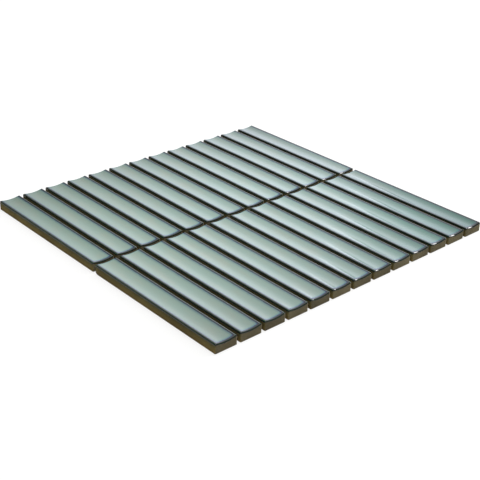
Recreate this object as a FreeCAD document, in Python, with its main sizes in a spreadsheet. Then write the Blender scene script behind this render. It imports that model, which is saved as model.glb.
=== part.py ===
# Mosaic tile sheet: two columns of long stoneware tiles, each with a hollowed glazed face,
# laid in a grid with open joints and glued to a net of glass yarns at the back.
# X runs along the tiles, Y across them and Z up from the underside of the net.
# The origin is under the middle of the sheet, and lengths are in millimetres.
import FreeCAD, Part
import os

import Sketcher

SIZES = {
    "tile_length": 145.0,
    "tile_width": 20.0,
    "tile_height": 8.0,
    "joint_width": 3.0,
    "tile_rows": 13,
    "trough_depth": 1.2,
    "rim_radius": 0.8,
    "end_bevel": 0.5,
    "back_depth": 0.5,
    "back_border": 3.0,
    "back_rib": 2.5,
    "back_panels": 6,
    "worn_length": 3.6,
    "worn_height": 2.4,
    "yarn_width": 1.0,
    "yarn_thickness": 0.2,
    "yarn_pitch": 5.0,
    "yarn_overhang": 0.8,
    "net_inset": 4.0,
}

COLUMNS = ("left", "right")
WORN_TILE = "tile_right_01"

# Sizes that follow from the sheet's cells, as formulas that read them.
ROW_PITCH = "(sizes.tile_width + sizes.joint_width)"
COLUMN_PITCH = "(sizes.tile_length + sizes.joint_width)"
NET_HEIGHT = "(2 * sizes.yarn_thickness)"
SHEET_LENGTH = "(2 * sizes.tile_length + sizes.joint_width)"
SHEET_WIDTH = f"(sizes.tile_rows * {ROW_PITCH} - sizes.joint_width)"

# The trough is one arc. It dips by trough_depth from the crest of the rims and runs
# tangent into the round of each rim, whose crest is at tile_height.
TROUGH_RADIUS = (
    "(((sizes.tile_width / 2 - sizes.rim_radius)^2 + sizes.trough_depth^2)"
    " / (2 * sizes.trough_depth) - sizes.rim_radius)"
)
TROUGH_CENTRE = f"(sizes.tile_height - sizes.trough_depth + {TROUGH_RADIUS})"
WALL_HEIGHT = f"({TROUGH_CENTRE} - sqrt({TROUGH_RADIUS}^2 - (sizes.tile_width / 2)^2))"

PANEL_LENGTH = (
    "((sizes.tile_length - 2 * sizes.back_border"
    " - (sizes.back_panels - 1) * sizes.back_rib) / sizes.back_panels)"
)


def add_sizes(doc):
    """The spreadsheet that holds every driving dimension under its own name."""
    sheet = doc.addObject("Spreadsheet::Sheet", "sizes")
    for row, (name, value) in enumerate(SIZES.items(), start=1):
        sheet.set(f"A{row}", name)
        sheet.set(f"B{row}", str(value))
        sheet.setAlias(f"B{row}", name)
    doc.recompute()
    return sheet


def add_body(doc, label, places):
    """A body with its own label, placed by formulas for its x, y and z."""
    body = doc.addObject("PartDesign::Body", label)
    body.Label = label
    for axis, formula in places.items():
        body.setExpression(f"Placement.Base.{axis}", formula)
    return body


def add_sketch(body, name, plane_role):
    """A sketch on one of the body's own origin planes."""
    sketch = body.newObject("Sketcher::SketchObject", name)
    plane = [f for f in body.Origin.OriginFeatures if f.Role == plane_role][0]
    sketch.AttachmentSupport = [(plane, "")]
    sketch.MapMode = "FlatFace"
    return sketch


def bind(sketch, constraint, name, formula):
    """Adds a named constraint to a sketch and ties it to a formula."""
    index = sketch.addConstraint(constraint)
    sketch.renameConstraint(index, name)
    sketch.setExpression(f"Constraints.{name}", formula)


def add_rectangle(sketch, width, height, left, bottom):
    """A closed rectangle with its sides and its lower left corner tied to formulas."""
    corners = [FreeCAD.Vector(x, y) for x, y in ((1, 1), (3, 1), (3, 2), (1, 2))]
    for start, end in zip(corners, corners[1:] + corners[:1]):
        sketch.addGeometry(Part.LineSegment(start, end), False)
    for line in range(4):
        sketch.addConstraint(
            Sketcher.Constraint("Coincident", line, 2, (line + 1) % 4, 1)
        )
    for line, way in enumerate(("Horizontal", "Vertical") * 2):
        sketch.addConstraint(Sketcher.Constraint(way, line))
    bind(sketch, Sketcher.Constraint("DistanceX", 0, 1, 0, 2, 2.0), "width", width)
    bind(sketch, Sketcher.Constraint("DistanceY", 1, 1, 1, 2, 1.0), "height", height)
    bind(sketch, Sketcher.Constraint("DistanceX", -1, 1, 0, 1, 1.0), "left", left)
    bind(sketch, Sketcher.Constraint("DistanceY", -1, 1, 0, 1, 1.0), "bottom", bottom)


def add_profile(body, sizes):
    """The tile's cross-section: flat back, upright walls and the arc of the trough."""
    half = sizes.tile_width / 2
    wall = sizes.tile_height
    trough = wall - sizes.trough_depth
    sketch = add_sketch(body, "profile", "YZ_Plane")
    corners = [
        FreeCAD.Vector(y, z)
        for y, z in ((-half, wall), (-half, 0), (half, 0), (half, wall))
    ]
    for start, end in zip(corners, corners[1:]):
        sketch.addGeometry(Part.LineSegment(start, end), False)
    middle = FreeCAD.Vector(0, trough)
    sketch.addGeometry(Part.Arc(corners[0], middle, corners[3]), False)
    left_wall, back, right_wall, arc = range(4)
    for one, other in ((left_wall, back), (back, right_wall)):
        sketch.addConstraint(Sketcher.Constraint("Coincident", one, 2, other, 1))
    sketch.addConstraint(Sketcher.Constraint("Vertical", left_wall))
    sketch.addConstraint(Sketcher.Constraint("Vertical", right_wall))
    sketch.addConstraint(Sketcher.Constraint("PointOnObject", back, 1, -1))
    sketch.addConstraint(Sketcher.Constraint("PointOnObject", back, 2, -1))
    sketch.addConstraint(Sketcher.Constraint("Coincident", arc, 1, left_wall, 1))
    sketch.addConstraint(Sketcher.Constraint("Coincident", arc, 2, right_wall, 2))
    sketch.addConstraint(Sketcher.Constraint("PointOnObject", arc, 3, -2))
    left_end = Sketcher.Constraint("DistanceX", back, 1, -1, 1, half)
    bind(sketch, left_end, "half_width", "sizes.tile_width / 2")
    span = Sketcher.Constraint("DistanceX", back, 1, back, 2, 2 * half)
    bind(sketch, span, "width", "sizes.tile_width")
    rise = Sketcher.Constraint("DistanceY", left_wall, 2, left_wall, 1, wall)
    bind(sketch, rise, "wall_height", WALL_HEIGHT)
    centre = Sketcher.Constraint("DistanceY", -1, 1, arc, 3, 6 * wall)
    bind(sketch, centre, "trough_centre", TROUGH_CENTRE)
    return sketch


def edge_names(shape, wanted):
    """Names of the edges of a shape that a test picks out."""
    return [f"Edge{n}" for n, edge in enumerate(shape.Edges, start=1) if wanted(edge)]


def ease_edges(body, kind, name, base, wanted, size):
    """A Fillet or Chamfer on the edges of the base feature that a test picks out."""
    feature = body.newObject(f"PartDesign::{kind}", name)
    feature.Base = (base, edge_names(base.Shape, wanted))
    feature.setExpression({"Fillet": "Radius", "Chamfer": "Size"}[kind], size)
    body.Tip = feature
    return feature


def add_back_panels(body, sizes):
    """Shallow recesses in the back, closed by a border and parted by cross ribs."""
    sketch = add_sketch(body, "panel", "XY_Plane")
    panel_width = "sizes.tile_width - 2 * sizes.back_border"
    add_rectangle(
        sketch,
        PANEL_LENGTH,
        panel_width,
        "sizes.back_border",
        "sizes.back_border - sizes.tile_width / 2",
    )
    pocket = body.newObject("PartDesign::Pocket", "back_panel")
    pocket.Profile = sketch
    pocket.Reversed = True
    pocket.setExpression("Length", "sizes.back_depth")
    body.Tip = pocket
    pattern = body.newObject("PartDesign::LinearPattern", "back_panels")
    pattern.Originals = [pocket]
    pattern.Direction = (sketch, ["H_Axis"])
    pattern.Mode = "Spacing"
    pattern.setExpression("Offset", f"{PANEL_LENGTH} + sizes.back_rib")
    pattern.setExpression("Occurrences", "sizes.back_panels")
    body.Tip = pattern
    return pattern


def add_worn_foot(body, sizes):
    """Wears the lower edge of the tile's left end round, right across its width."""
    length = sizes.worn_length
    height = sizes.worn_height
    sketch = add_sketch(body, "worn_edge", "XZ_Plane")
    corner = FreeCAD.Vector(0, 0)
    foot = FreeCAD.Vector(length, 0)
    top = FreeCAD.Vector(0, height)
    bulge = FreeCAD.Vector(length / 4, height / 4)
    sketch.addGeometry(Part.LineSegment(top, corner), False)
    sketch.addGeometry(Part.LineSegment(corner, foot), False)
    sketch.addGeometry(Part.Arc(foot, bulge, top), False)
    end_face, back, round_edge = range(3)
    sketch.addConstraint(Sketcher.Constraint("Coincident", end_face, 2, back, 1))
    sketch.addConstraint(Sketcher.Constraint("Coincident", end_face, 2, -1, 1))
    sketch.addConstraint(Sketcher.Constraint("Coincident", round_edge, 2, back, 2))
    sketch.addConstraint(Sketcher.Constraint("Coincident", round_edge, 1, end_face, 1))
    sketch.addConstraint(Sketcher.Constraint("Vertical", end_face))
    sketch.addConstraint(Sketcher.Constraint("Horizontal", back))
    run = Sketcher.Constraint("DistanceX", back, 1, back, 2, length)
    bind(sketch, run, "length", "sizes.worn_length")
    rise = Sketcher.Constraint("DistanceY", end_face, 2, end_face, 1, height)
    bind(sketch, rise, "height", "sizes.worn_height")
    radius = Sketcher.Constraint("Radius", round_edge, max(length, height))
    bind(sketch, radius, "radius", "max(sizes.worn_length; sizes.worn_height)")
    pocket = body.newObject("PartDesign::Pocket", "worn_foot")
    pocket.Profile = sketch
    pocket.SideType = "Symmetric"
    pocket.setExpression("Length", "2 * sizes.tile_width")
    body.Tip = pocket


def add_tile(doc, sizes, column, row):
    """One tile: pressed from stoneware, with a hollow along its face and rounded rims."""
    label = f"tile_{COLUMNS[column]}_{row + 1:02d}"
    places = {
        "x": f"{column} * {COLUMN_PITCH} - {SHEET_LENGTH} / 2",
        "y": f"{row} * {ROW_PITCH} + sizes.tile_width / 2 - {SHEET_WIDTH} / 2",
        "z": NET_HEIGHT,
    }
    body = add_body(doc, label, places)
    blank = body.newObject("PartDesign::Pad", "blank")
    blank.Profile = add_profile(body, sizes)
    blank.setExpression("Length", "sizes.tile_length")
    body.Tip = blank
    doc.recompute()
    panels = add_back_panels(body, sizes)
    doc.recompute()

    middle = sizes.tile_height / 2

    def long_rim(edge):
        box = edge.BoundBox
        return box.ZMin > middle and box.XLength > sizes.tile_width

    def end_outline(edge):
        box = edge.BoundBox
        at_an_end = box.XMax < 0.001 or box.XMin > sizes.tile_length - 0.001
        return at_an_end and box.ZMax > middle

    rims = ease_edges(body, "Fillet", "rims", panels, long_rim, "sizes.rim_radius")
    doc.recompute()
    ease_edges(body, "Chamfer", "ends", rims, end_outline, "sizes.end_bevel")
    if label == WORN_TILE:
        add_worn_foot(body, sizes)
    doc.recompute()
    return body


def yarn_count(sheet_size):
    """How many yarns lie side by side at an even pitch across a size of the sheet."""
    kept_clear = "2 * (sizes.net_inset + sizes.yarn_overhang)"
    room = f"({sheet_size} - {kept_clear} - sizes.yarn_width)"
    return f"(floor({room} / sizes.yarn_pitch) + 1)"


def yarn_spread(sheet_size):
    """From the outer edge of the first of those yarns to the outer edge of the last."""
    return f"(({yarn_count(sheet_size)} - 1) * sizes.yarn_pitch + sizes.yarn_width)"


def add_yarns(doc, label, along, sheet_along, sheet_across, z):
    """One layer of the net: flat glass yarns that end just past the other layer's last."""
    run = f"({yarn_spread(sheet_along)} + 2 * sizes.yarn_overhang)"
    spread = yarn_spread(sheet_across)
    body = add_body(doc, label, {"z": z})
    sketch = add_sketch(body, "first_yarn", "XY_Plane")
    long_side = (run, f"-{run} / 2")
    short_side = ("sizes.yarn_width", f"-{spread} / 2")
    x_side, y_side = (long_side, short_side) if along == "x" else (short_side, long_side)
    add_rectangle(sketch, x_side[0], y_side[0], x_side[1], y_side[1])
    yarn = body.newObject("PartDesign::Pad", "yarn")
    yarn.Profile = sketch
    yarn.setExpression("Length", "sizes.yarn_thickness")
    body.Tip = yarn
    pattern = body.newObject("PartDesign::LinearPattern", "yarns")
    pattern.Originals = [yarn]
    pattern.Direction = (sketch, ["V_Axis" if along == "x" else "H_Axis"])
    pattern.Mode = "Spacing"
    pattern.setExpression("Offset", "sizes.yarn_pitch")
    pattern.setExpression("Occurrences", yarn_count(sheet_across))
    body.Tip = pattern
    doc.recompute()
    return body


def check(doc, bodies):
    """Stops the script if an object failed or a piece isn't made of valid solids."""
    for item in doc.Objects:
        if "Invalid" in item.State or "Error" in item.State:
            raise RuntimeError(f"{item.Label} failed: {item.State}")
    for body in bodies:
        shape = body.Shape
        if shape.isNull() or not shape.isValid() or not shape.Solids:
            raise RuntimeError(f"{body.Label} has no valid solid")


def main():
    doc = FreeCAD.newDocument("mosaic_tile_sheet")
    sizes = add_sizes(doc)
    bodies = [
        add_tile(doc, sizes, column, row)
        for column in range(len(COLUMNS))
        for row in range(int(sizes.tile_rows))
    ]
    bodies.append(add_yarns(doc, "net_weft", "x", SHEET_LENGTH, SHEET_WIDTH, "0 mm"))
    over_weft = "sizes.yarn_thickness"
    bodies.append(add_yarns(doc, "net_warp", "y", SHEET_WIDTH, SHEET_LENGTH, over_weft))
    doc.recompute()
    check(doc, bodies)
    os.makedirs("parts", exist_ok=True)
    for body in bodies:
        body.Shape.exportStep(os.path.join("parts", f"{body.Label}.step"))
        print(body.Label, len(body.Shape.Solids), round(body.Shape.Volume, 2))


main()
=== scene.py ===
import math
import random

import bpy
from mathutils import Matrix, Vector


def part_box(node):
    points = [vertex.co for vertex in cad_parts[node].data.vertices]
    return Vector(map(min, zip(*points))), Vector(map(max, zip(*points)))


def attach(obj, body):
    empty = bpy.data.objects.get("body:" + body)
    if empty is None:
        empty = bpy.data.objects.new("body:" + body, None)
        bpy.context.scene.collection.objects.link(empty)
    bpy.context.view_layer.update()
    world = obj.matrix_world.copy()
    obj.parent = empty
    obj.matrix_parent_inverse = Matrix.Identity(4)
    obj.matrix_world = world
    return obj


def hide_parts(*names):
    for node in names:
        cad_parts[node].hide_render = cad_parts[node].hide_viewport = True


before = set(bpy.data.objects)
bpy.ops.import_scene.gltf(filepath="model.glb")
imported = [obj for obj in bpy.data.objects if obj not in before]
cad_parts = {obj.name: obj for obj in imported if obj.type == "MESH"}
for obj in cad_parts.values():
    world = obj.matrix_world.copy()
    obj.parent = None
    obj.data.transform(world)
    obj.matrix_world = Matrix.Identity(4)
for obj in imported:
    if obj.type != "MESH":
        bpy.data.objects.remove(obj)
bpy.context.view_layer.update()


# The photographer's place
# The sheet was photographed from its front right corner, a little under a metre away,
# with a short telephoto lens. The camera leaned to one side by about a degree.
PHOTO_WIDTH_PX = 480
FOCAL_LENGTH_PX = 994.7
CAMERA_PLACE = Vector((0.5773, -0.5140, 0.3838))
CAMERA_AIM = Vector((0.0417, -0.0337, 0.0084))
CAMERA_LEAN = math.radians(1.28)

camera_data = bpy.data.cameras.new("photo_camera")
camera_data.sensor_width = 36.0
camera_data.lens = FOCAL_LENGTH_PX / PHOTO_WIDTH_PX * camera_data.sensor_width
camera_data.clip_start = 0.01
camera = bpy.data.objects.new("photo_camera", camera_data)
bpy.context.scene.collection.objects.link(camera)
looking = (CAMERA_AIM - CAMERA_PLACE).to_track_quat("-Z", "Y").to_matrix().to_4x4()
lean = Matrix.Rotation(CAMERA_LEAN, 4, "Z")
camera.matrix_world = Matrix.Translation(CAMERA_PLACE) @ looking @ lean
bpy.context.scene.camera = camera
bpy.context.scene.view_settings.view_transform = "Standard"


# Stick tile, pressed shape
# Each tile is stoneware pressed in a steel die, which leaves a shallow trough along its
# face, upright walls, and keying panels with tapered sides in its back. The glaze then
# rounds every upper edge.
MM = 0.001
HAIR = 0.01 * MM
TROUGH_DEPTH = 1.2 * MM
TROUGH_ROWS = 14
RIM_RADIUS = 0.8 * MM
RIM_SETBACK = 1.7 * MM
RIM_ROOM = 1.2 * RIM_SETBACK
END_SHARE = 0.65
CORNER_SHARE = 0.5
EDGE_STEPS = 6
SMOOTH_ANGLE = math.radians(40)
BACK_BORDER = 3.0 * MM
BACK_RIB = 2.5 * MM
BACK_PANELS = 6
BACK_DEPTH = 0.5 * MM
BACK_DRAFT = 0.3 * MM
PANEL_STEPS = 4

tile_names = sorted(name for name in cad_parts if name.startswith("tile_"))
pattern_low, pattern_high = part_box(tile_names[0])
tile_middle = (pattern_low + pattern_high) / 2
tile_length = pattern_high.x - pattern_low.x
tile_width = pattern_high.y - pattern_low.y

# The trough is one arc from rim to rim. It rises past the tile's full height at the
# walls, and rounding that corner brings the crest back to it. The rounding takes a
# little more than that, so the whole face starts higher by as much.
FACE_LIFT = 0.13 * MM
crest_half = tile_width / 2 - RIM_RADIUS
trough_radius = (crest_half**2 + TROUGH_DEPTH**2) / (2 * TROUGH_DEPTH) - RIM_RADIUS
trough_centre = pattern_high.z - TROUGH_DEPTH + FACE_LIFT + trough_radius


def select_by_place(kind, wanted):
    """Selects just those faces or edges, in edit mode, whose corners pass a test."""
    mesh = bpy.context.object.data
    bpy.ops.mesh.select_mode(type=kind)
    bpy.ops.mesh.select_all(action="DESELECT")
    bpy.ops.object.mode_set(mode="OBJECT")
    for item in mesh.polygons if kind == "FACE" else mesh.edges:
        item.select = wanted([mesh.vertices[v].co for v in item.vertices])
    bpy.ops.object.mode_set(mode="EDIT")


def cut_across(axis, place):
    """Cuts the whole mesh, in edit mode, square to an axis."""
    normal = Vector((axis == "X", axis == "Y", axis == "Z"))
    bpy.ops.mesh.select_all(action="SELECT")
    bpy.ops.mesh.bisect(plane_co=normal * place, plane_no=normal)


def in_a_panel(corners):
    """Whether a face lies flat on the back, inside one of the panels."""
    if any(p.z > pattern_low.z + HAIR for p in corners):
        return False
    if any(abs(p.y - tile_middle.y) > panel_half + HAIR for p in corners):
        return False
    return any(
        all(start - HAIR < p.x < start + panel_length + HAIR for p in corners)
        for start in panel_starts
    )


def on_side(p):
    return min(p.y - pattern_low.y, pattern_high.y - p.y) < HAIR


def on_end(p):
    return min(p.x - pattern_low.x, pattern_high.x - p.x) < HAIR


def rounding_share(ends):
    """How much of the full rounding an edge gets: rims all, ends and corners less."""
    if all(on_side(p) and on_end(p) for p in ends):
        return CORNER_SHARE
    if any(p.z < tile_middle.z for p in ends):
        return 0
    if all(on_side(p) for p in ends):
        return 1
    return END_SHARE if all(on_end(p) for p in ends) else 0


bpy.ops.object.select_all(action="DESELECT")
bpy.ops.mesh.primitive_cube_add(size=1, location=tile_middle)
pattern = bpy.context.object
pattern.name = "stick_tile_pattern"
pattern.scale = pattern_high - pattern_low
bpy.ops.object.transform_apply(location=True, rotation=True, scale=True)

# The panels are pressed into the back with tapered sides. Each is cut in a few lengths,
# so that the kiln can bend the tile along them.
panel_run = tile_length - 2 * BACK_BORDER + BACK_RIB
panel_length = panel_run / BACK_PANELS - BACK_RIB
panel_half = tile_width / 2 - BACK_BORDER
panel_starts = [
    pattern_low.x + BACK_BORDER + n * panel_run / BACK_PANELS for n in range(BACK_PANELS)
]
bpy.ops.object.mode_set(mode="EDIT")
for start in panel_starts:
    for step in range(PANEL_STEPS + 1):
        cut_across("X", start + panel_length * step / PANEL_STEPS)
for side in (-panel_half, panel_half):
    cut_across("Y", tile_middle.y + side)
select_by_place("FACE", in_a_panel)
bpy.ops.mesh.inset(thickness=BACK_DRAFT, depth=-BACK_DEPTH)

# Each row of the face moves to its height on the trough's arc. The rows keep clear of
# the rims, where the rounding needs the room.
trough_edge = tile_width / 2 - RIM_ROOM
for row in range(TROUGH_ROWS + 1):
    cut_across("Y", tile_middle.y - trough_edge + 2 * trough_edge * row / TROUGH_ROWS)
bpy.ops.object.mode_set(mode="OBJECT")
row_places = sorted(
    {round(v.co.y, 6) for v in pattern.data.vertices if v.co.z > tile_middle.z}
)
bpy.ops.object.mode_set(mode="EDIT")
for place in row_places:
    select_by_place(
        "EDGE",
        lambda ends: all(abs(p.y - place) < HAIR and p.z > tile_middle.z for p in ends),
    )
    height = trough_centre - math.sqrt(trough_radius**2 - (place - tile_middle.y) ** 2)
    bpy.ops.transform.translate(value=(0, 0, height - pattern_high.z))
bpy.ops.mesh.select_all(action="SELECT")
bpy.ops.mesh.normals_make_consistent(inside=False)
bpy.ops.object.mode_set(mode="OBJECT")

# The glaze rounds the outline of the face, most on the long rims, and the press leaves
# the four upright corners soft.
shares = pattern.data.attributes.new("bevel_weight_edge", "FLOAT", "EDGE")
for edge in pattern.data.edges:
    ends = [pattern.data.vertices[v].co for v in edge.vertices]
    shares.data[edge.index].value = rounding_share(ends)
rounding = pattern.modifiers.new("rounding", "BEVEL")
rounding.limit_method = "WEIGHT"
rounding.width = RIM_SETBACK
rounding.segments = EDGE_STEPS
bpy.ops.object.modifier_apply(modifier=rounding.name)
bpy.ops.object.shade_smooth_by_angle(angle=SMOOTH_ANGLE)

# The UV map runs once along the tile and once across it, seen from above, so that the
# glaze knows how far it is from the tile's outline.
outline_map = pattern.data.uv_layers[0]
outline_map.name = "outline"
for loop in pattern.data.loops:
    place = pattern.data.vertices[loop.vertex_index].co - pattern_low
    outline_map.data[loop.index].uv = (place.x / tile_length, place.y / tile_width)


# Glaze
# A celadon stoneware glaze, sprayed on the face and fired glossy. It lies thick and
# sage green in the trough, breaks to blue where it thins, and runs off the rims, which
# stay near black with iron but for a mossy line along each crest: thin glaze over the body, with a
# painted highlight.
GLAZE_EDGE = "#2a2e20"
GLAZE_RIM = "#0d1924"
GLAZE_CREST_AND_GLINT = "#526848"
# The crest's mossy line is thin glaze over the body, with a painted highlight in it.
GLAZE_BREAK = "#122432"
GLAZE_HALO = "#39586a"
GLAZE_THIN = "#638080"
GLAZE_BODY = "#7d988b"
GLAZE_POOL = "#8b9684"
GLAZE_DRIFT = "#ebf3fd"
# The corner colour is deep teal with painted shade in it.
GLAZE_CORNER_TEAL_SHADE = "#30bdac"
GLAZE_ROUGHNESS = (0.05, 0.09)
GLAZE_IOR = 1.5


def linear(shade):
    """Turns an sRGB hex colour to the linear colour that a shader takes."""
    parts = [int(shade[n : n + 2], 16) / 255 for n in (1, 3, 5)]
    return [c / 12.92 if c <= 0.04045 else ((c + 0.055) / 1.055) ** 2.4 for c in parts] + [1]


def grey(level):
    """A level of tone or light, as a linear grey."""
    return (level, level, level, 1)


def new_material(name):
    """Adds a material whose node tree is empty."""
    material = bpy.data.materials.new(name)
    material.use_nodes = True
    material.node_tree.nodes.clear()
    return material


def add_node(tree, kind, inputs=None, stops=(), **settings):
    """Adds a node with its settings. Its inputs are values, or outputs to link.

    A ramp also takes stops, which are places in rising order, each with its colour.
    """
    node = tree.nodes.new("ShaderNode" + kind)
    for name, value in settings.items():
        setattr(node, name, value)
    for name, value in (inputs or {}).items():
        if isinstance(value, bpy.types.NodeSocket):
            tree.links.new(value, node.inputs[name])
        else:
            node.inputs[name].default_value = value
    for n, (place, colour) in enumerate(stops):
        elements = node.color_ramp.elements
        element = elements[n] if n < len(elements) else elements.new(place)
        element.position = place
        element.color = colour
    return node


def add_inward_distances(tree, outline_uv, lean=(0, 0, 0), reach=(0, 0, 0)):
    """Adds nodes that give the millimetres in from a tile's ends (X) and sides (Y).

    A lean moves the middle they are measured from, and a reach moves the outline out.
    """
    half_mm = Vector((tile_length / MM / 2, tile_width / MM / 2, 0))
    from_middle = add_node(
        tree,
        "VectorMath",
        {0: outline_uv, 1: 2 * half_mm, 2: Vector(lean) - half_mm},
        operation="MULTIPLY_ADD",
    )
    outward = add_node(tree, "VectorMath", {0: from_middle.outputs[0]}, operation="ABSOLUTE")
    inward = add_node(
        tree,
        "VectorMath",
        {0: half_mm + Vector(reach), 1: outward.outputs[0]},
        operation="SUBTRACT",
    )
    return add_node(tree, "SeparateXYZ", {0: inward.outputs[0]})


sheet_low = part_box("tile_left_01")[0]
sheet_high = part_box("tile_right_13")[1]
glaze = new_material("celadon_glaze")
tree = glaze.node_tree
coords = add_node(tree, "TexCoord")

# Distance in from the edge of the glaze, in millimetres, rounded at its corners. The
# glaze was sprayed from the left and a little from the front, so it reaches furthest
# over those edges.
SPRAY_LEAN = (1.0, 0.15, 0)
SPRAY_REACH = (1.4, 0, 0)
OUTLINE_ROUND = 2.2
inward_parts = add_inward_distances(tree, coords.outputs["UV"], SPRAY_LEAN, SPRAY_REACH)
inward_plain = add_node(
    tree,
    "Math",
    {0: inward_parts.outputs["X"], 1: inward_parts.outputs["Y"], 2: OUTLINE_ROUND},
    operation="SMOOTH_MIN",
)

# The edge of the thick glaze wanders in and out a little, by parts of a millimetre.
WANDER = 0.18
WANDER_LENGTH = 4.35 * MM
wander = add_node(
    tree,
    "TexNoise",
    {"Vector": coords.outputs["Object"], "Scale": 1 / WANDER_LENGTH, "Detail": 2.0},
)
wander_mm = add_node(
    tree,
    "MapRange",
    {
        "Value": wander.outputs[0],
        "From Min": 0.25,
        "From Max": 0.75,
        "To Min": -WANDER,
        "To Max": WANDER,
    },
)
inward_mm = add_node(
    tree, "Math", {0: inward_plain.outputs[0], 1: wander_mm.outputs[0]}, operation="ADD"
)

# Colours by that distance, over the outermost millimetres.
EDGE_SPAN = 8.0
EDGE_COLOURS = (
    (0.0, GLAZE_EDGE),
    (0.5, GLAZE_RIM),
    (0.8, GLAZE_CREST_AND_GLINT),
    (1.1, GLAZE_RIM),
    (1.9, GLAZE_BREAK),
    (2.3, GLAZE_HALO),
    (2.8, GLAZE_THIN),
    (4.2, GLAZE_BODY),
)
edge_place = add_node(
    tree, "MapRange", {"Value": inward_mm.outputs[0], "From Min": 0.0, "From Max": EDGE_SPAN}
)
edge_ramp = add_node(
    tree,
    "ValToRGB",
    {0: edge_place.outputs[0]},
    stops=[(inward / EDGE_SPAN, linear(shade)) for inward, shade in EDGE_COLOURS],
)

# Broad clouds of yellower and paler glaze, a few centimetres long, in the trough.
CLOUD_LENGTH = 27.8 * MM
CLOUD_WIDTH = 12.5 * MM
POOL_MOST = 0.6
cloud_scale = (1 / CLOUD_LENGTH, 1 / CLOUD_WIDTH, 1 / CLOUD_WIDTH)
cloud_place = add_node(
    tree, "Mapping", {"Vector": coords.outputs["Object"], "Scale": cloud_scale}
)
clouds = add_node(
    tree,
    "TexNoise",
    {"Vector": cloud_place.outputs[0], "Scale": 1.0, "Detail": 3.0, "Roughness": 0.55},
)
pool_share = add_node(
    tree,
    "MapRange",
    {"Value": clouds.outputs[0], "From Min": 0.4, "From Max": 0.7, "To Max": POOL_MOST},
)
in_trough = add_node(
    tree,
    "MapRange",
    {"Value": inward_mm.outputs[0], "From Min": 3.0, "From Max": 7.5},
    interpolation_type="SMOOTHSTEP",
)
pooled = add_node(
    tree, "Math", {0: pool_share.outputs[0], 1: in_trough.outputs[0]}, operation="MULTIPLY"
)
# A colour mix has three sockets of each name, so its sockets go by number.
body_colour = add_node(
    tree,
    "Mix",
    {0: pooled.outputs[0], 6: edge_ramp.outputs[0], 7: linear(GLAZE_POOL)},
    data_type="RGBA",
)

# The glaze drifts from sage in the front left rows to teal in the back right ones.
DRIFT_WAY = (0.35, 0.94, 0)
DRIFT_START = -120 * MM
DRIFT_END = 190 * MM
drift_place = add_node(
    tree,
    "VectorMath",
    {0: coords.outputs["Object"], 1: DRIFT_WAY},
    operation="DOT_PRODUCT",
)
drift_share = add_node(
    tree,
    "MapRange",
    {"Value": drift_place.outputs["Value"], "From Min": DRIFT_START, "From Max": DRIFT_END},
)
drifted = add_node(
    tree,
    "Mix",
    {0: drift_share.outputs[0], 6: body_colour.outputs[2], 7: linear(GLAZE_DRIFT)},
    data_type="RGBA",
    blend_type="MULTIPLY",
)

# The glaze turns deep teal toward the sheet's back right corner, and painted shade darkens it there
# as well.
CORNER_BEYOND = Vector((8.5, 17, 0)) * MM
CORNER_REACH = 150 * MM
CORNER_CORE = 20 * MM
from_back_corner = add_node(
    tree,
    "VectorMath",
    {0: coords.outputs["Object"], 1: sheet_high + CORNER_BEYOND},
    operation="DISTANCE",
)
corner_share = add_node(
    tree,
    "MapRange",
    {
        "Value": from_back_corner.outputs["Value"],
        "From Min": CORNER_REACH,
        "From Max": CORNER_CORE,
    },
)
corner_teal_shaded = add_node(
    tree,
    "Mix",
    {0: corner_share.outputs[0], 6: drifted.outputs[2], 7: linear(GLAZE_CORNER_TEAL_SHADE)},
    data_type="RGBA",
    blend_type="MULTIPLY",
)

# Painted shade: the glaze keeps its full colour in the middle of the sheet and is darkened toward
# its two ends, where the light falls off.
SHADE_FALLOFF_LEVELS = ((0.0, 0.72), (0.15, 0.88), (0.4, 1.0), (0.55, 0.98), (0.8, 0.91), (1.0, 0.76))
sheet_parts = add_node(tree, "SeparateXYZ", {0: coords.outputs["Object"]})
along_sheet = add_node(
    tree,
    "MapRange",
    {"Value": sheet_parts.outputs["X"], "From Min": sheet_low.x, "From Max": sheet_high.x},
)
falloff_shade_ramp = add_node(
    tree,
    "ValToRGB",
    {0: along_sheet.outputs[0]},
    stops=[(place, grey(level)) for place, level in SHADE_FALLOFF_LEVELS],
)
falloff_shaded = add_node(
    tree,
    "Mix",
    {0: 1.0, 6: corner_teal_shaded.outputs[2], 7: falloff_shade_ramp.outputs[0]},
    data_type="RGBA",
    blend_type="MULTIPLY",
)

# Each tile took its own share of glaze, so its tone differs a little from the next, and painted
# shade darkens the front and back rows, most at the back right. The break is bluest at the ends,
# whose rims stay darker than the long ones.
END_RIM_TONE = 0.3
END_SATURATION = 1.6
END_HUE = 0.54
own_tone_shade = add_node(tree, "Attribute", attribute_name="glaze_tone_shade")
end_dark = add_node(
    tree,
    "MapRange",
    {
        "Value": inward_parts.outputs["X"],
        "From Min": 1.5,
        "From Max": 1.0,
        "To Min": 1.0,
        "To Max": END_RIM_TONE,
    },
)
glaze_tone_shade = add_node(
    tree, "Math", {0: own_tone_shade.outputs["Fac"], 1: end_dark.outputs[0]}, operation="MULTIPLY"
)
end_blue, end_hue = [
    add_node(
        tree,
        "MapRange",
        {
            "Value": inward_parts.outputs["X"],
            "From Min": 5.0,
            "From Max": 2.0,
            "To Min": plain,
            "To Max": at_end,
        },
    )
    for plain, at_end in ((1.0, END_SATURATION), (0.5, END_HUE))
]
toned = add_node(
    tree,
    "HueSaturation",
    {
        "Hue": end_hue.outputs[0],
        "Saturation": end_blue.outputs[0],
        "Value": glaze_tone_shade.outputs[0],
        "Color": falloff_shaded.outputs[2],
    },
)

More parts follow.
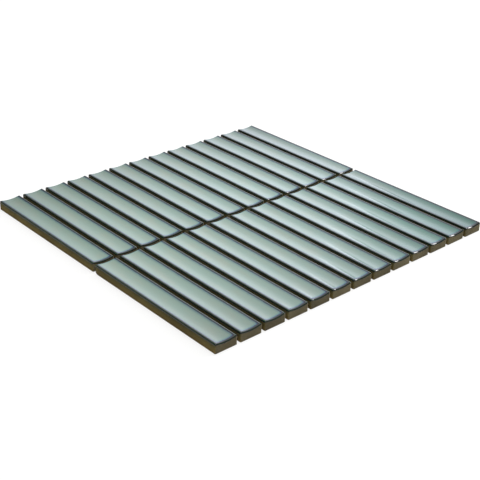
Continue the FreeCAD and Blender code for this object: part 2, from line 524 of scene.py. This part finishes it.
# The fired surface ripples very slightly, and is a shade less glossy where it pooled.
RIPPLE_LENGTH = 11.1 * MM
RIPPLE_HEIGHT = 0.4 * MM
ripple = add_node(
    tree,
    "TexNoise",
    {"Vector": coords.outputs["Object"], "Scale": 1 / RIPPLE_LENGTH, "Detail": 2.0},
)
ripple_bump = add_node(
    tree,
    "Bump",
    {"Height": ripple.outputs[0], "Strength": 0.03, "Distance": RIPPLE_HEIGHT},
)
gloss = add_node(
    tree,
    "MapRange",
    {
        "Value": clouds.outputs[0],
        "From Min": 0.3,
        "From Max": 0.7,
        "To Min": GLAZE_ROUGHNESS[0],
        "To Max": GLAZE_ROUGHNESS[1],
    },
)
shader = add_node(
    tree,
    "BsdfPrincipled",
    {
        "Base Color": toned.outputs[0],
        "Roughness": gloss.outputs[0],
        "IOR": GLAZE_IOR,
        "Normal": ripple_bump.outputs[0],
    },
)
add_node(tree, "OutputMaterial", {"Surface": shader.outputs[0]})


# Bare stoneware
# The walls and the back of a tile are the fired clay itself, iron brown, grainy and dull.
# Glaze that ran over the rim has stained the top millimetre or two near black.
CLAY_STAIN = "#2b2f1c"
CLAY_DARK = "#45442d"
CLAY_BROWN = "#5e5432"
CLAY_OLIVE = "#635432"
CLAY_GREY = "#5f5844"
# Paler clay of the rubbed corners, with a painted highlight in it.
CLAY_RUBBED_AND_GLINT = "#a0937a"
CLAY_ROUGHNESS = 0.75
CLAY_SPECULAR = 0.05

clay = new_material("bare_stoneware")
tree = clay.node_tree
coords = add_node(tree, "TexCoord")

# Colours by height up the wall. The stain ran down it in upright streaks.
STREAK_WIDTH = 5.56 * MM
STREAK_HEIGHT = 16.7 * MM
STREAK_RUN = 0.6 * MM
WALL_COLOURS = ((0.0, CLAY_OLIVE), (0.5, CLAY_BROWN), (0.84, CLAY_DARK), (0.94, CLAY_STAIN))
streak_scale = (1 / STREAK_WIDTH, 1 / STREAK_WIDTH, 1 / STREAK_HEIGHT)
streak_place = add_node(
    tree, "Mapping", {"Vector": coords.outputs["Object"], "Scale": streak_scale}
)
streaks = add_node(
    tree, "TexNoise", {"Vector": streak_place.outputs[0], "Scale": 1.0, "Detail": 3.0}
)
run_down = add_node(
    tree,
    "MapRange",
    {
        "Value": streaks.outputs[0],
        "From Min": 0.25,
        "From Max": 0.75,
        "To Min": -STREAK_RUN,
        "To Max": STREAK_RUN,
    },
)
wall_parts = add_node(tree, "SeparateXYZ", {0: coords.outputs["Object"]})
stained_height = add_node(
    tree, "Math", {0: wall_parts.outputs["Z"], 1: run_down.outputs[0]}, operation="ADD"
)
wall_place = add_node(
    tree,
    "MapRange",
    {
        "Value": stained_height.outputs[0],
        "From Min": pattern_low.z,
        "From Max": pattern_high.z,
    },
)
wall_ramp = add_node(
    tree,
    "ValToRGB",
    {0: wall_place.outputs[0]},
    stops=[(place, linear(shade)) for place, shade in WALL_COLOURS],
)

# The clay has a grain, drawn coarser than the real one so that it shows, and broad
# patches that fired lighter and darker.
GRAIN_WIDTH = 0.714 * MM
GRAIN_HEIGHT = 0.1 * MM
PATCH_WIDTH = 22.2 * MM
grain = add_node(
    tree,
    "TexNoise",
    {"Vector": coords.outputs["Object"], "Scale": 1 / GRAIN_WIDTH, "Detail": 3.0},
)
grain_tone = add_node(
    tree,
    "MapRange",
    {"Value": grain.outputs[0], "From Min": 0.3, "From Max": 0.7, "To Min": 0.8, "To Max": 1.2},
)
patches = add_node(
    tree,
    "TexNoise",
    {"Vector": coords.outputs["Object"], "Scale": 1 / PATCH_WIDTH, "Detail": 1.0},
)
patch_tone = add_node(
    tree,
    "MapRange",
    {"Value": patches.outputs[0], "From Min": 0.3, "From Max": 0.7, "To Min": 0.82, "To Max": 1.18},
)
clay_tone = add_node(
    tree,
    "Math",
    {0: grain_tone.outputs[0], 1: patch_tone.outputs[0]},
    operation="MULTIPLY",
)

# The end faces are greyer below the stain, and each tile's ends fired to their own tone.
WALL_LEAN = (0, 1.0, 0)
WALL_REACH = (-1.0, 0, 0)
inward_parts = add_inward_distances(tree, coords.outputs["UV"], WALL_LEAN, WALL_REACH)
at_end = add_node(
    tree,
    "MapRange",
    {"Value": inward_parts.outputs["X"], "From Min": -0.7, "From Max": -0.9},
)
below_stain = add_node(
    tree, "MapRange", {"Value": wall_place.outputs[0], "From Min": 0.92, "From Max": 0.68}
)
grey_share = add_node(
    tree, "Math", {0: at_end.outputs[0], 1: below_stain.outputs[0]}, operation="MULTIPLY"
)
own_firing = add_node(tree, "Attribute", attribute_name="end_tone")
end_grey = add_node(
    tree,
    "HueSaturation",
    {"Value": own_firing.outputs["Fac"], "Color": linear(CLAY_GREY)},
)
greyed = add_node(
    tree,
    "Mix",
    {0: grey_share.outputs[0], 6: wall_ramp.outputs[0], 7: end_grey.outputs[0]},
    data_type="RGBA",
)

# The upright corners on the far side of each tile are paler: partly clay rubbed by handling, partly
# a painted highlight on their rounding.
RUB_AND_GLINT_MOST = 0.8
from_corner = add_node(
    tree,
    "Math",
    {0: inward_parts.outputs["X"], 1: inward_parts.outputs["Y"]},
    operation="MAXIMUM",
)
rub_and_glint_share = add_node(
    tree,
    "MapRange",
    {
        "Value": from_corner.outputs[0],
        "From Min": -0.1,
        "From Max": -0.6,
        "To Max": RUB_AND_GLINT_MOST,
    },
)
rubbed_and_glinted = add_node(
    tree,
    "Mix",
    {0: rub_and_glint_share.outputs[0], 6: greyed.outputs[2], 7: linear(CLAY_RUBBED_AND_GLINT)},
    data_type="RGBA",
)
grained = add_node(
    tree,
    "HueSaturation",
    {"Value": clay_tone.outputs[0], "Color": rubbed_and_glinted.outputs[2]},
)
grain_bump = add_node(
    tree, "Bump", {"Height": grain.outputs[0], "Strength": 0.5, "Distance": GRAIN_HEIGHT}
)
shader = add_node(
    tree,
    "BsdfPrincipled",
    {
        "Base Color": grained.outputs[0],
        "Roughness": CLAY_ROUGHNESS,
        "Specular IOR Level": CLAY_SPECULAR,
        "Normal": grain_bump.outputs[0],
    },
)
add_node(tree, "OutputMaterial", {"Surface": shader.outputs[0]})

# The glaze covers all that faces up, and ends at the foot of the rounding.
UPWARD = 0.1
pattern.data.materials.append(glaze)
pattern.data.materials.append(clay)
for face in pattern.data.polygons:
    face.material_index = 0 if face.normal.z > UPWARD else 1


# The laid tiles
# Two columns of thirteen tiles, each a copy of the pressed shape that has warped a
# little in the kiln. One tile is worn round along the lower edge of its left end, and
# the ends of four came out of the kiln darker.
WARP = 0.2 * MM
WARP_LENGTH = 28 * MM
TONE_SPREAD = 0.04
# The tone of each tile's glaze: the darker tiles of the front and back rows carry painted shade,
# the others their own tone.
TONES_AND_SHADE = {
    "tile_left_01": 0.9,
    "tile_left_02": 0.93,
    "tile_left_08": 1.05,
    "tile_left_09": 1.08,
    "tile_left_12": 0.93,
    "tile_left_13": 0.79,
    "tile_right_01": 0.93,
    "tile_right_02": 0.97,
    "tile_right_05": 1.04,
    "tile_right_07": 1.04,
    "tile_right_08": 1.03,
    "tile_right_09": 1.08,
    "tile_right_10": 0.97,
    "tile_right_11": 1.05,
    "tile_right_12": 0.92,
    "tile_right_13": 0.76,
}
END_TONE = 1.04
DARK_ENDS = ("tile_right_01", "tile_right_03", "tile_right_05", "tile_right_08")
DARK_END_TONE = 0.78
WORN_TILE = "tile_right_01"
WORN_LENGTH = 3.6 * MM
WORN_HEIGHT = 2.4 * MM
WORN_CUTS = 4


def cut_off(place, outward):
    """Cuts away, in edit mode, all that lies beyond a plane, and closes the cut."""
    bpy.ops.mesh.select_all(action="SELECT")
    bpy.ops.mesh.bisect(
        plane_co=place, plane_no=outward, use_fill=True, clear_outer=True, threshold=0.001 * MM
    )


# Only the upper half of a tile warps, so that it stays flat on its net.
warp = bpy.data.textures.new("kiln_warp", "CLOUDS")
warp.noise_scale = WARP_LENGTH
warp.noise_depth = 1
upper = pattern.vertex_groups.new(name="upper")
for vertex in pattern.data.vertices:
    rise = (vertex.co.z - tile_middle.z) / (pattern_high.z - tile_middle.z)
    upper.add([vertex.index], min(1, max(0, rise)), "REPLACE")

chance = random.Random(26)
for name in tile_names:
    low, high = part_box(name)
    bpy.ops.object.select_all(action="DESELECT")
    pattern.select_set(True)
    bpy.context.view_layer.objects.active = pattern
    bpy.ops.object.duplicate(linked=False)
    tile = bpy.context.object
    tile.name = "glazed_" + name
    tile.data.transform(Matrix.Translation(low - pattern_low))
    bend = tile.modifiers.new("kiln_warp", "DISPLACE")
    bend.texture = warp
    bend.texture_coords = "LOCAL"
    bend.direction = "Z"
    bend.vertex_group = "upper"
    bend.strength = WARP
    bend.mid_level = 1.0
    bpy.ops.object.modifier_apply(modifier=bend.name)

    # The worn end follows a quarter of an ellipse, in a few flats.
    if name == WORN_TILE:
        bpy.ops.object.mode_set(mode="EDIT")
        for cut in range(WORN_CUTS):
            turn = math.pi / 2 * (cut + 0.5) / WORN_CUTS
            along = WORN_LENGTH * (1 - math.cos(turn))
            up = WORN_HEIGHT * (1 - math.sin(turn))
            outward = Vector((-math.cos(turn) * WORN_HEIGHT, 0, -math.sin(turn) * WORN_LENGTH))
            cut_off(low + Vector((along, 0, up)), outward.normalized())
        bpy.ops.object.mode_set(mode="OBJECT")

    tones = {
        "glaze_tone_shade": TONES_AND_SHADE.get(name, 1 + chance.uniform(-TONE_SPREAD, TONE_SPREAD)),
        "end_tone": DARK_END_TONE if name in DARK_ENDS else END_TONE,
    }
    for attribute, tone in tones.items():
        values = tile.data.attributes.new(attribute, "FLOAT", "POINT").data
        values.foreach_set("value", [tone] * len(values))
    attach(tile, "root")
    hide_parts(name)
bpy.data.objects.remove(pattern, do_unlink=True)


# Glass fibre net
# An open scrim glued under the tiles: flat glass yarns laid in two layers, bonded where
# they cross by a white dressing that also spreads each yarn there.
YARN_PITCH = 5.0 * MM
YARN_WAIST = 0.8
YARN_SIDES = 6
YARN_SMOOTH_ANGLE = math.radians(75)
YARN_SHADES = ((0.35, "#b9b6aa"), (0.65, "#e4e2da"))
YARN_ROUGHNESS = 0.55
STRAND_WIDTH = MM / 6
STRAND_LENGTH = 4 * MM
STRAND_HEIGHT = 0.05 * MM


def repeat_piece(count, step, merge=False):
    """Turns the active piece to a row of copies, each one step further than the last."""
    row = bpy.context.object.modifiers.new("row", "ARRAY")
    row.count = count
    row.use_relative_offset = False
    row.use_constant_offset = True
    row.constant_offset_displace = step
    row.use_merge_vertices = merge
    row.merge_threshold = HAIR
    bpy.ops.object.modifier_apply(modifier=row.name)


for name, along, across in (("net_weft", 0, 1), ("net_warp", 1, 0)):
    low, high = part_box(name)
    way_along = Vector((along == 0, along == 1, 0))
    way_across = Vector((across == 0, across == 1, 0))
    crossings = math.floor((high[along] - low[along]) / YARN_PITCH) + 1
    yarn_count = math.floor((high[across] - low[across]) / YARN_PITCH) + 1
    yarn_width = high[across] - low[across] - (yarn_count - 1) * YARN_PITCH
    first = (low + high) / 2
    first[along] -= (crossings - 1) / 2 * YARN_PITCH
    first[across] = low[across] + yarn_width / 2

    # One crossing's length of yarn, narrow at both ends and wide in the middle.
    bpy.ops.object.select_all(action="DESELECT")
    bpy.ops.mesh.primitive_cylinder_add(
        vertices=YARN_SIDES,
        radius=0.5,
        depth=1,
        end_fill_type="NOTHING",
        location=first,
        rotation=(0, math.pi / 2, 0) if along == 0 else (math.pi / 2, 0, 0),
    )
    yarn = bpy.context.object
    yarn.name = "dressed_" + name
    bpy.ops.object.transform_apply(location=False, rotation=True, scale=False)
    size = Vector((0, 0, high.z - low.z))
    size[along] = YARN_PITCH
    size[across] = yarn_width * YARN_WAIST
    yarn.dimensions = size
    bpy.ops.object.transform_apply(location=True, rotation=False, scale=True)
    bpy.ops.object.mode_set(mode="EDIT")
    cut_across("XY"[along], first[along])
    select_by_place("EDGE", lambda ends: all(abs(p[along] - first[along]) < HAIR for p in ends))
    spread = Vector((1, 1, 1))
    spread[across] = 1 / YARN_WAIST
    bpy.ops.transform.resize(value=spread, center_override=first)
    bpy.ops.object.mode_set(mode="OBJECT")

    # The yarn repeats it at every crossing and is cut to length, then the layer repeats
    # the yarn.
    repeat_piece(crossings, way_along * YARN_PITCH, merge=True)
    bpy.ops.object.mode_set(mode="EDIT")
    cut_off(way_along * low[along], -way_along)
    cut_off(way_along * high[along], way_along)
    bpy.ops.mesh.select_all(action="SELECT")
    bpy.ops.mesh.normals_make_consistent(inside=False)
    bpy.ops.object.mode_set(mode="OBJECT")
    repeat_piece(yarn_count, way_across * YARN_PITCH)
    bpy.ops.object.shade_smooth_by_angle(angle=YARN_SMOOTH_ANGLE)

    # Milky dressed glass, dull, with the lines of its strands running along the yarn.
    # The strands are drawn far coarser than real ones, so that they show.
    net = new_material("dressed_glass_yarn_along_" + "xy"[along])
    tree = net.node_tree
    coords = add_node(tree, "TexCoord")
    strand_scale = Vector((1, 1, 1)) / STRAND_WIDTH
    strand_scale[along] = 1 / STRAND_LENGTH
    strand_place = add_node(
        tree, "Mapping", {"Vector": coords.outputs["Object"], "Scale": strand_scale}
    )
    strands = add_node(
        tree, "TexNoise", {"Vector": strand_place.outputs[0], "Scale": 1.0, "Detail": 2.0}
    )
    strand_tone = add_node(
        tree,
        "ValToRGB",
        {0: strands.outputs[0]},
        stops=[(place, linear(shade)) for place, shade in YARN_SHADES],
    )
    strand_bump = add_node(
        tree, "Bump", {"Height": strands.outputs[0], "Strength": 0.4, "Distance": STRAND_HEIGHT}
    )
    shader = add_node(
        tree,
        "BsdfPrincipled",
        {
            "Base Color": strand_tone.outputs[0],
            "Roughness": YARN_ROUGHNESS,
            "Normal": strand_bump.outputs[0],
        },
    )
    add_node(tree, "OutputMaterial", {"Surface": shader.outputs[0]})
    yarn.data.materials.append(net)
    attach(yarn, "root")
    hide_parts(name)


# Studio floor
# A matt white painted floor, so wide that its edge is out of sight. It takes the sheet's
# faint shadow. Wherever it is seen or mirrored, a share of plain white keeps it pale.
FLOOR_RADIUS = 40.0
FLOOR_SIDES = 96
FLOOR_PAINT = "#f4f4f2"
FLOOR_WHITE = 1.06
FLOOR_WHITE_SHARE = 0.7

bpy.ops.object.select_all(action="DESELECT")
bpy.ops.mesh.primitive_circle_add(vertices=FLOOR_SIDES, radius=FLOOR_RADIUS, fill_type="NGON")
floor = bpy.context.object
floor.name = "studio_floor"
floor_paint = new_material("white_floor")
tree = floor_paint.node_tree
paths = add_node(tree, "LightPath")
looked_at = paths.outputs["Is Camera Ray"]
for path in ("Is Glossy Ray", "Is Transmission Ray"):
    either = add_node(tree, "Math", {0: looked_at, 1: paths.outputs[path]}, operation="MAXIMUM")
    looked_at = either.outputs[0]
white_share = add_node(tree, "Math", {0: looked_at, 1: FLOOR_WHITE_SHARE}, operation="MULTIPLY")
matt = add_node(tree, "BsdfDiffuse", {"Color": linear(FLOOR_PAINT)})
white = add_node(tree, "Emission", {"Color": (1, 1, 1, 1), "Strength": FLOOR_WHITE})
painted = add_node(
    tree, "MixShader", {0: white_share.outputs[0], 1: matt.outputs[0], 2: white.outputs[0]}
)
add_node(tree, "OutputMaterial", {"Surface": painted.outputs[0]})
floor.data.materials.append(floor_paint)


# Studio light
# A pale ceiling that is brightest overhead, two darker sides, and a bright screen like a
# low window beyond the sheet, opposite the camera, which the glaze mirrors.


def toward(azimuth, elevation):
    """The way to a place round the sheet, in degrees left of straight back and up."""
    left = math.radians(azimuth)
    up = math.radians(elevation)
    return Vector((-math.sin(left) * math.cos(up), math.cos(left) * math.cos(up), math.sin(up)))


# The ceiling's light by height, from the floor's level to straight up.
CEILING_LEVELS = ((0.0, 0.12), (0.25, 0.1), (0.42, 0.83), (0.6, 1.42), (0.8, 1.65), (1.0, 2.35))
world = bpy.data.worlds.new("studio")
bpy.context.scene.world = world
world.use_nodes = True
tree = world.node_tree
tree.nodes.clear()
coords = add_node(tree, "TexCoord")
direction = add_node(tree, "SeparateXYZ", {0: coords.outputs["Generated"]})
ceiling = add_node(
    tree,
    "ValToRGB",
    {0: direction.outputs["Z"]},
    stops=[(place, grey(level)) for place, level in CEILING_LEVELS],
)

# The two darker sides: the way there, the cosines where the dimming starts and ends, and
# the level it ends at.
DARK_SIDES = ((toward(122, 20.7), 0.49, 0.83, 0.12), (toward(-50, 35), 0.72, 0.9, 0.3))
ambient = ceiling
for side, starts, ends, level in DARK_SIDES:
    toward_side = add_node(
        tree, "VectorMath", {0: coords.outputs["Generated"], 1: side}, operation="DOT_PRODUCT"
    )
    dimmed = add_node(
        tree,
        "MapRange",
        {
            "Value": toward_side.outputs["Value"],
            "From Min": starts,
            "From Max": ends,
            "To Min": 1.0,
            "To Max": level,
        },
        interpolation_type="SMOOTHSTEP",
    )
    ambient = add_node(
        tree, "Math", {0: ambient.outputs[0], 1: dimmed.outputs[0]}, operation="MULTIPLY"
    )

# The screen fades out around its middle and stops at the floor's level.
SCREEN = toward(38.8, 16.2)
SCREEN_TIGHTNESS = 24.5
SCREEN_LIGHT = (2.18, 2.22, 2.50, 1)
toward_screen = add_node(
    tree, "VectorMath", {0: coords.outputs["Generated"], 1: SCREEN}, operation="DOT_PRODUCT"
)
before_screen = add_node(
    tree, "Math", {0: toward_screen.outputs["Value"], 1: 0.0}, operation="MAXIMUM"
)
screen_fall = add_node(
    tree, "Math", {0: before_screen.outputs[0], 1: SCREEN_TIGHTNESS}, operation="POWER"
)
above_floor = add_node(
    tree,
    "MapRange",
    {"Value": direction.outputs["Z"], "From Min": 0.0, "From Max": 0.1},
    interpolation_type="SMOOTHSTEP",
)
screen_cut = add_node(
    tree, "Math", {0: screen_fall.outputs[0], 1: above_floor.outputs[0]}, operation="MULTIPLY"
)

# A dark glazing bar with a bright edge crosses the screen, and shows as a fine line in
# the troughs of the back right tiles.
BAR_TOP = toward(38.5, 20)
BAR_FOOT = toward(34.5, 11)
BAR_REACH = 0.05
BAR_LIGHT = (2.12, 2.12, 2.45, 1)
BAR_LEVELS = ((0.0, 1.0), (0.36, 1.0), (0.42, 0.3), (0.56, 0.3), (0.62, 1.9), (0.85, 1.0))
across_bar = add_node(
    tree,
    "VectorMath",
    {0: coords.outputs["Generated"], 1: BAR_TOP.cross(BAR_FOOT).normalized()},
    operation="DOT_PRODUCT",
)
bar_place = add_node(
    tree,
    "MapRange",
    {"Value": across_bar.outputs["Value"], "From Min": -BAR_REACH, "From Max": BAR_REACH},
)
bar_ramp = add_node(
    tree,
    "ValToRGB",
    {0: bar_place.outputs[0]},
    stops=[(place, grey(level)) for place, level in BAR_LEVELS],
)
above_foot, below_top = [
    add_node(
        tree,
        "MapRange",
        {"Value": direction.outputs["Z"], "From Min": outside, "From Max": inside},
        interpolation_type="SMOOTHSTEP",
    )
    for outside, inside in ((0.17, 0.21), (0.36, 0.32))
]
along_bar = add_node(
    tree, "Math", {0: above_foot.outputs[0], 1: below_top.outputs[0]}, operation="MULTIPLY"
)
bar = add_node(
    tree,
    "Mix",
    {0: 1.0, 6: BAR_LIGHT, 7: bar_ramp.outputs[0]},
    data_type="RGBA",
    blend_type="MULTIPLY",
)
barred = add_node(
    tree,
    "Mix",
    {0: along_bar.outputs[0], 6: SCREEN_LIGHT, 7: bar.outputs[2]},
    data_type="RGBA",
)
screen_light = add_node(
    tree,
    "VectorMath",
    {0: barred.outputs[2], "Scale": screen_cut.outputs[0]},
    operation="SCALE",
)
all_light = add_node(
    tree, "VectorMath", {0: ambient.outputs[0], 1: screen_light.outputs[0]}, operation="ADD"
)
background = add_node(tree, "Background", {"Color": all_light.outputs[0], "Strength": 1.0})
add_node(tree, "OutputWorld", {"Surface": background.outputs[0]})

# One long strip lamp behind the sheet draws the white glints on the rounded right ends.
LAMP_WAY = toward(-14, 26)
LAMP_DISTANCE = 1.5
LAMP_LONG = 0.92
LAMP_WIDE = 0.24
LAMP_RADIANCE = 18
LAMP_TURN = math.radians(18)
light = bpy.data.lights.new("strip_lamp", "AREA")
light.shape = "RECTANGLE"
light.size = LAMP_LONG
light.size_y = LAMP_WIDE
light.energy = LAMP_RADIANCE * math.pi * LAMP_LONG * LAMP_WIDE
lamp = bpy.data.objects.new("strip_lamp", light)
bpy.context.scene.collection.objects.link(lamp)
facing = LAMP_WAY.to_track_quat("Z", "Y").to_matrix().to_4x4()
turned = facing @ Matrix.Rotation(LAMP_TURN, 4, "Z")
lamp.matrix_world = Matrix.Translation(LAMP_WAY * LAMP_DISTANCE) @ turned
